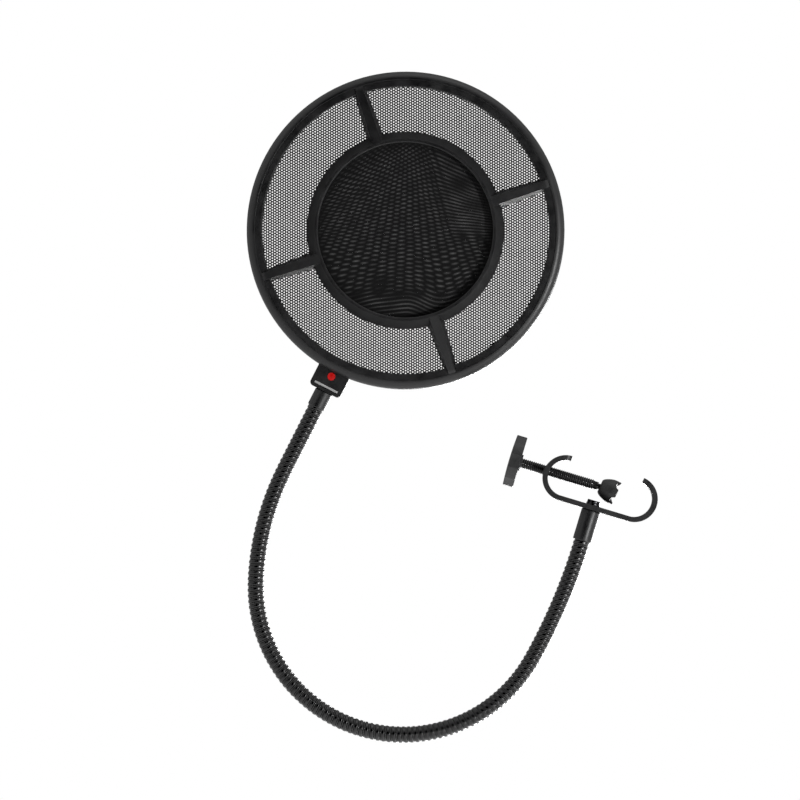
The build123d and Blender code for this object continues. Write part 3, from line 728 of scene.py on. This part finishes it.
# ---------- perforated screen ----------
HOLE_PITCH = 1.34 * MM
HOLE_R = 0.38 * MM
SHEET_HALF = 0.25 * MM
SHEET_R = 72.9 * MM
HOLE_SIDES = 12
SCREEN_PARTS = 4
RIM_MARGIN = 0.6  # of the pitch, between the last centres and the sheet's edge
SHEET_WELD = 0.005 * MM
SHEET_SHARP = 40.0


def hole_centres():
    """Hexagonal rows with nearest neighbours one above another, inside the sheet's edge."""
    column = HOLE_PITCH * sqrt(3) / 2
    reach = int(SHEET_R / column) + 2
    centres = []
    for i in range(-reach, reach + 1):
        shift = 0.5 * HOLE_PITCH if i % 2 else 0.0
        for j in range(-reach, reach + 1):
            x, z = i * column, j * HOLE_PITCH + shift
            if sqrt(x * x + z * z) + HOLE_PITCH * RIM_MARGIN < SHEET_R:
                centres.append((x, z))
    return centres


def perforated_cells(centres):
    """A hexagon with a round hole for each centre: vertices, and faces of both sides and the hole's wall."""
    corner_r = HOLE_PITCH / sqrt(3)
    corners = [(corner_r * cos(k * pi / 3), corner_r * sin(k * pi / 3)) for k in range(6)]
    turns = [k * 2 * pi / HOLE_SIDES for k in range(HOLE_SIDES)]
    hole = [(HOLE_R * cos(turn), HOLE_R * sin(turn)) for turn in turns]
    outline = np.array(corners + hole)
    plane = np.array(centres)[:, None, :] + outline[None, :, :]
    count, ring = len(centres), len(outline)
    front = np.dstack([plane[:, :, 0], np.full((count, ring), -SHEET_HALF), plane[:, :, 1]])
    back = np.dstack([plane[:, :, 0], np.full((count, ring), SHEET_HALF), plane[:, :, 1]])
    vertices = np.hstack([front, back]).reshape(-1, 3)
    one = []
    step = HOLE_SIDES // 6
    for k in range(6):
        c, n = k, (k + 1) % 6
        h = [6 + (k * step + m) % HOLE_SIDES for m in range(step + 1)]
        one.append((c, h[0], h[1]))
        one.append((c, h[1], n))
        one.append((n, h[1], h[2]))
    back_faces = [tuple(ring + v for v in reversed(f)) for f in one]
    walls = []
    for k in range(HOLE_SIDES):
        here, beyond = 6 + k, 6 + (k + 1) % HOLE_SIDES
        walls.append((here, ring + here, ring + beyond, beyond))
    faces = one + back_faces + walls
    all_faces = []
    for i in range(count):
        base = 2 * ring * i
        all_faces += [tuple(base + v for v in f) for f in faces]
    return vertices, all_faces


def build_screen():
    groups = [[] for _ in range(SCREEN_PARTS)]
    for x, z in hole_centres():
        groups[(x > -TINY) + 2 * (z > -TINY)].append((x, z))
    for k, centres in enumerate(groups):
        vertices, faces = perforated_cells(centres)
        name = f"perforated_sheet_{k + 1}"
        mesh = mesh_of(name, vertices + np.array(DISC), faces, SHEET_SHARP)
        bm = bmesh.new()
        bm.from_mesh(mesh)
        bmesh.ops.remove_doubles(bm, verts=bm.verts, dist=SHEET_WELD)
        close_rim(bm)
        bmesh.ops.recalc_face_normals(bm, faces=bm.faces)
        bm.to_mesh(mesh)
        bm.free()
        shade(mesh, SHEET_SHARP)
        new_piece(name, mesh, "screen", "screen", "screen_metal", ("metal_screen",))


def close_rim(bm):
    """Walls between the front and back faces along the group's outer edge."""
    open_edges = [e for e in bm.edges if len(e.link_faces) == 1]
    bmesh.ops.bridge_loops(bm, edges=open_edges)


# ---------- nylon ----------
NYLON_R = 45.5 * MM
NYLON_PITCH = 0.62 * MM
NYLON_RIBBONS = (0.60 * MM, 0.36 * MM)
NYLON_WAVE = 0.04 * MM
STRETCH_WAVE = 24 * MM
STRETCH_ACROSS = 0.35 * MM
STRETCH_DOWN = 0.45 * MM
# Each layer's name, CAD node, turn in degrees, and pitch as a share of NYLON_PITCH.
NYLON_LAYERS = (
    ("nylon_front_weave", "nylon_front", 4.0, 1.0),
    ("nylon_back_weave", "nylon_back", -3.0, 1.03),
)


def drawn(points, turn):
    """Uneven stretch of the knit in its hoop: slow waves across it."""
    x, z = points[:, 0], points[:, 1]
    wave = STRETCH_WAVE
    dx = STRETCH_ACROSS * np.sin(2 * pi * z / wave + 1.3 * turn) * np.cos(pi * x / (1.7 * wave))
    dz = STRETCH_DOWN * np.sin(2 * pi * x / (1.3 * wave) + 0.7 * turn) * np.cos(pi * z / (1.4 * wave) + 0.5)
    return np.column_stack([x + dx, z + dz])


def weave(pitch, turn):
    """Flat threads that pass over and under each other inside the hoop, as vertices and faces."""
    vertices, faces = [], []
    reach = int(NYLON_R / pitch)
    for across in (False, True):
        half = NYLON_RIBBONS[across] / 2
        for i in range(-reach, reach + 1):
            at = i * pitch
            long = int(sqrt(max(NYLON_R**2 - (abs(at) + half) ** 2, 0)) / pitch * 2) - 1
            if long < 2:
                continue
            base = len(vertices)
            for j in range(-long, long + 1):
                along = j * pitch / 2
                lift = 0.0 if j % 2 else NYLON_WAVE * (1 if (i + j // 2) % 2 == across else -1)
                for side in (-half, half):
                    spot = (along, at + side) if across else (at + side, along)
                    vertices.append((*spot, lift))
            for j in range(2 * long):
                a = base + 2 * j
                faces.append((a, a + 1, a + 3, a + 2))
    grid = np.array(vertices)
    flat = drawn(grid[:, :2], turn)
    c, s = cos(radians(turn)), sin(radians(turn))
    x = flat[:, 0] * c - flat[:, 1] * s
    z = flat[:, 0] * s + flat[:, 1] * c
    r = np.hypot(x, z)
    shrink = np.minimum(1.0, NYLON_R / np.maximum(r, TINY))
    return np.column_stack([x * shrink, grid[:, 2], z * shrink]), faces


def eased(low, high, value):
    t = np.clip((value - low) / (high - low), 0, 1)
    return t * t * (3 - 2 * t)


def spot(x, z, at_x, at_z, wide, high):
    return np.exp(-(((x - at_x) / wide) ** 2) - ((z - at_z) / high) ** 2)


# The painted light's pattern: gaps between rows and columns of dashes, and where the columns fan in, in millimetres.
ROW_GAP = 2.0
COLUMN_GAP = 3.6
FAN_HEIGHT = 72.0
FAN_X = 2.0
# Where the painted light's dashes fade: by how much, at which x and z, and how wide and high, in millimetres.
FADES = ((0.9, 27, 23, 8, 5), (0.8, 36, 12, 5, 4), (0.85, -12, -26, 8, 5), (0.6, -2, -32, 14, 2.5))


def arch(x, left, right):
    """How far rows bow, in rows, from (depth, width) pairs on each side of the middle."""
    depth = np.where(x > 0, right[0], left[0])
    width = np.where(x > 0, right[1], left[1])
    return depth * (1 - np.cos(pi * x / width))


def painted_moire_light(x, z):
    """Painted light: the light that shows through where the two layers' threads line up, painted as light dashes, with
    painted shade near the ring: 0 to 1, for places in millimetres.
    """
    ripple = 0.12 * np.sin(0.31 * x + 0.7) * np.sin(0.23 * z + 0.4)
    rows = z / ROW_GAP + ripple
    rows += arch(x, (2.4, 60), (4.6, 60)) * eased(-10, 26, z)
    rows += arch(x, (1.4, 40), (1.25, 18)) * eased(-5, -34, z)
    columns = (x - FAN_X) / (COLUMN_GAP * (FAN_HEIGHT - z) / FAN_HEIGHT) + 0.7 * ripple
    border = 12 + 0.25 * (40 - z)
    streaks = np.maximum(eased(-4, 6, x - border) * eased(-9, 3, z), eased(-27, -35, z))
    lattice = np.cos(2 * pi * rows) * (streaks + (1 - streaks) * np.cos(pi * columns))
    # Patches where less light shows through: the painted light fades there.
    gaps = sum(share * spot(x, z, *place) for share, *place in FADES)
    patches = 0.7 + 0.3 * np.sin(0.41 * x - 0.13 * z) * np.sin(0.37 * z + 0.11 * x)
    # Painted shade from the ring: the painted light dims near the hoop's edge.
    rim = 1 - 0.8 * eased(38, 43, np.hypot(x, z))
    return np.clip(lattice, 0, 1) ** 1.3 * patches * rim * np.clip(1 - gaps, 0, 1)


def build_nylon():
    for name, node, turn, stretch in NYLON_LAYERS:
        vertices, faces = weave(NYLON_PITCH * stretch, turn)
        mesh = mesh_of(name, vertices + np.array(centre(node)), faces, 60.0)
        # Painted light: the light through both layers, stored as a mask that lightens the threads' colour.
        add_gloss_and_painted_light(mesh, painted_moire_light(vertices[:, 0] / MM, vertices[:, 2] / MM))
        piece = new_piece(name, mesh, "screen", "nylon", "nylon", (node,))
        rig.sheet(piece, flat=(0.0912, 0.0912), held="stretched", area=pi * 0.0456**2, rests_on=["nylon_hoop"])


# ---------- clamp screw ----------
SCREW_PITCH = 1.0 * MM
THREAD_R = 2.5 * MM
THREAD_ROOT = 2.15 * MM
THREAD_FROM = 0.9 * MM
BALL_NECK_R = 1.35 * MM
SHANK_R = 1.95 * MM
SHANK_FROM = 3.82 * MM
BALL_R = 1.9 * MM
KNOB_END = 47.1 * MM
BALL_MEETS_NECK = 1.337 * MM
BALL_TIP_R = 0.02 * MM
CREST_SHARE = 1.35
FLANK_SLOPE = 2.2
THREAD_STOP = 5.2 * MM
SCREW_STEP = SCREW_PITCH / 10
SCREW_SIDES = 32


def screw_radius(s, phi):
    """Distances run from the ball's centre towards the knob."""
    p = np.mod(s / SCREW_PITCH - phi / (2 * pi), 1.0)
    ridge = np.clip(CREST_SHARE - FLANK_SLOPE * np.abs(2 * p - 1), 0, 1)
    thread = THREAD_ROOT + (THREAD_R - THREAD_ROOT) * ridge
    ramped = np.clip((s - THREAD_STOP) / THREAD_FROM, 0, 1)
    thread = SHANK_R + (thread - SHANK_R) * ramped
    ball = np.sqrt(np.clip(BALL_R**2 - s**2, BALL_TIP_R**2, None))
    plain = np.where(s < SHANK_FROM, BALL_NECK_R, SHANK_R)
    behind_ball = np.where(s < THREAD_STOP, plain + 0 * phi, thread)
    return np.where(s < BALL_MEETS_NECK, ball + 0 * phi, behind_ball)


def screw_gloss_and_painted_light(s, phi):
    """The thread's crests are glossier and painted lighter, as a painted highlight; the root keeps the plain dark
    colour.
    """
    return np.clip((screw_radius(s, phi) - THREAD_ROOT) / (THREAD_R - THREAD_ROOT), 0, 1)


def build_screw():
    path = straight(BALL, -SCREW_DIR, Y)
    span = (-BALL_R, KNOB_END)
    mesh = wound("screw_thread", path, *span, SCREW_STEP, SCREW_SIDES, screw_radius, 50.0, screw_gloss_and_painted_light)
    new_piece("screw_thread", mesh, "screw", "thread", "black_steel", ("clamp_screw",))


# ---------- pieces that keep their CAD shape ----------
# Each CAD node, its piece's name, the rounding of its edges in millimetres, its material and its slot.
SOFT_EDGES = (
    ("clamp_bracket", "bent_strip", 0.1, "strip", "strip_metal"),
    ("foot_ferrule", "foot_sleeve", 0.15, "ferrule", "ferrule_metal"),
    ("top_ferrule", "top_sleeve", 0.15, "ferrule", "ferrule_metal"),
    ("bracket_bolt", "slotted_bolt", 0.1, "oxide", "black_steel"),
    ("spring_washer", "split_washer", 0.08, "oxide", "black_steel"),
    ("clamp_knob", "lobed_knob", 0.15, "knob", "knob_plastic"),
    ("knob_nut", "hex_nut", 0.2, "oxide", "black_steel"),
    ("frame_screws", "cross_screws", 0.06, "oxide", "black_steel"),
    ("front_frame", "front_moulding", 0.2, "frame", "frame_plastic"),
    ("back_frame", "back_moulding", 0.2, "frame", "frame_plastic"),
)
PAD_VOXEL = 0.15 * MM
PAD_ROUNDS = 22  # 60 rounds shrink the pad into its socket
KEPT = {
    "thrust_washer": "oxide",
    "pad_socket": "socket",
    "nylon_hoop": "hoop",
    "mark_dot": "red",
    "mark_bar": "pale",
    "stem_insert": "brass",
}


def keep_nodes():
    for node, material in KEPT.items():
        mesh = frame["nodes"][node].data
        mesh.materials.clear()
        mesh.materials.append(MATERIALS[material])


add_camera()
add_studio()
build_neck()
build_screen()
build_nylon()
build_screw()
for node, name, width, material, slot in SOFT_EDGES:
    softened(name, node, width * MM, material, slot)
moulded("rubber_pad", "pad_cap", PAD_VOXEL, PAD_ROUNDS, "rubber", "pad_rubber")
keep_nodes()

with open("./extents.json", "w") as out:
    json.dump([[list(c) for c in cad_box], [list(c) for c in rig.bounds()]], out)
